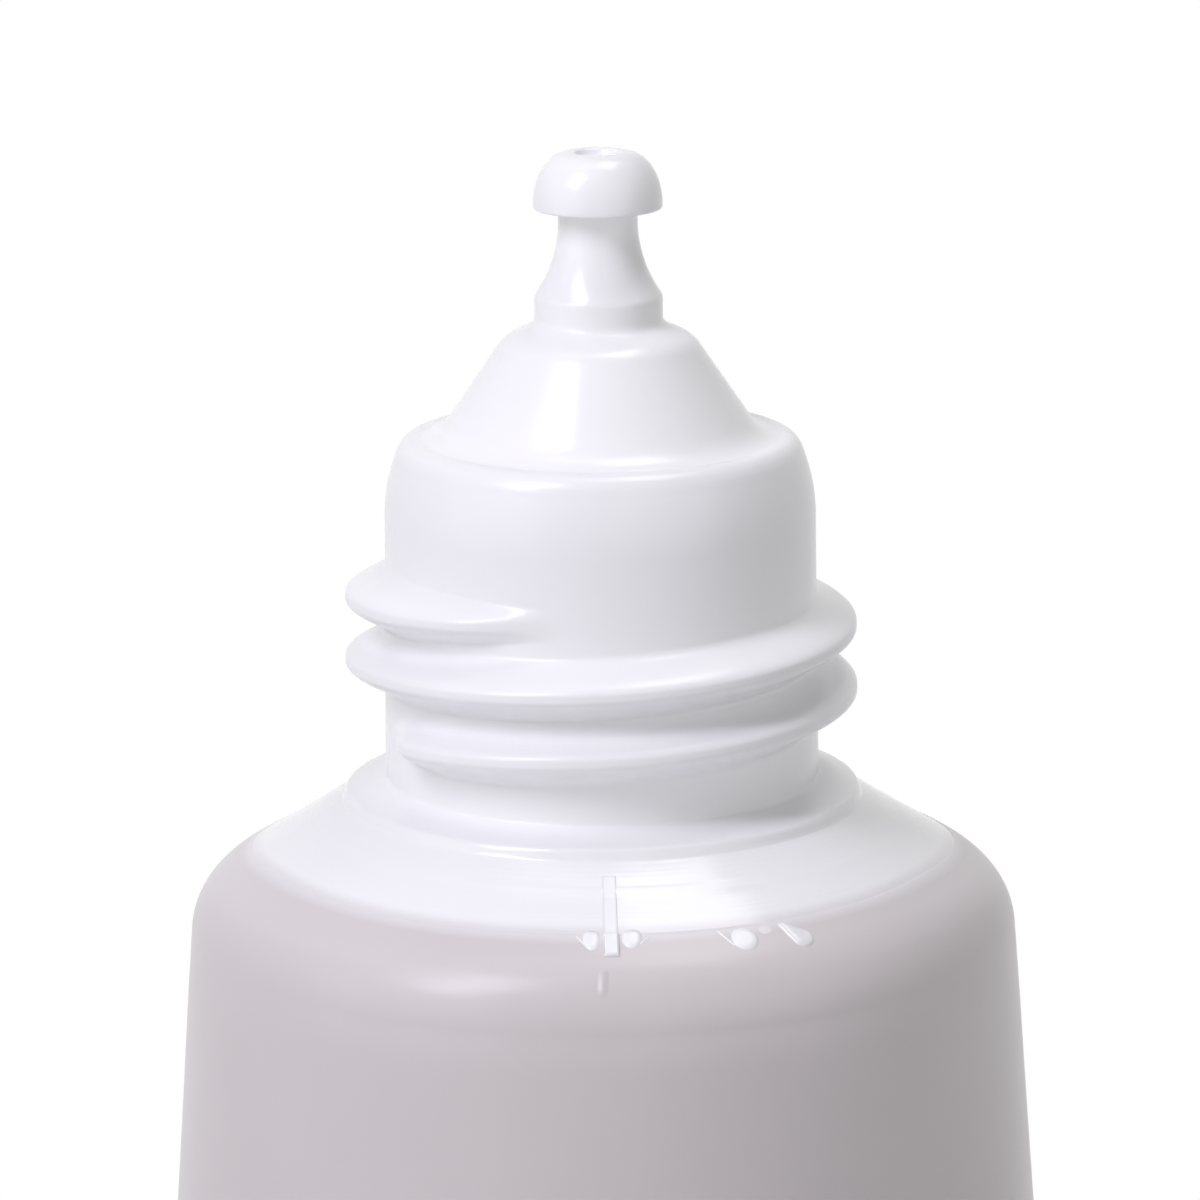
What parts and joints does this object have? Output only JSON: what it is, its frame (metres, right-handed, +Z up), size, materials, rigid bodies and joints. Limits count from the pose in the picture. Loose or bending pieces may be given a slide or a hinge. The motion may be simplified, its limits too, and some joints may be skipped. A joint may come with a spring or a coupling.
{
  "type": "dropper tube",
  "caption": "Squeeze tube with a flat welded tail, a sloping shoulder, a threaded neck and a press-in dropper nozzle with a mushroom tip.",
  "frame": {"origin": "middle of the flat tail's lower edge", "axes": "+Z up along the tube towards the nozzle, X along the flat tail, the front faces -Y"},
  "size_m": [0.0392, 0.025, 0.1152],
  "materials": {
    "sleeve_plastic": "satin",
    "head_plastic": "satin moulded",
    "nozzle_plastic": "smooth moulded"
  },
  "bodies": {
    "tube": {"tube_sleeve": "sleeve_plastic", "tube_head": "head_plastic"},
    "nozzle": {"dropper_nozzle": "nozzle_plastic"}
  },
  "joints": [
    {"name": "nozzle_pull", "type": "slide", "parent": "tube", "child": "nozzle", "axis": [0, 0, 1], "range_m": [0, 0.012]}
  ]
}
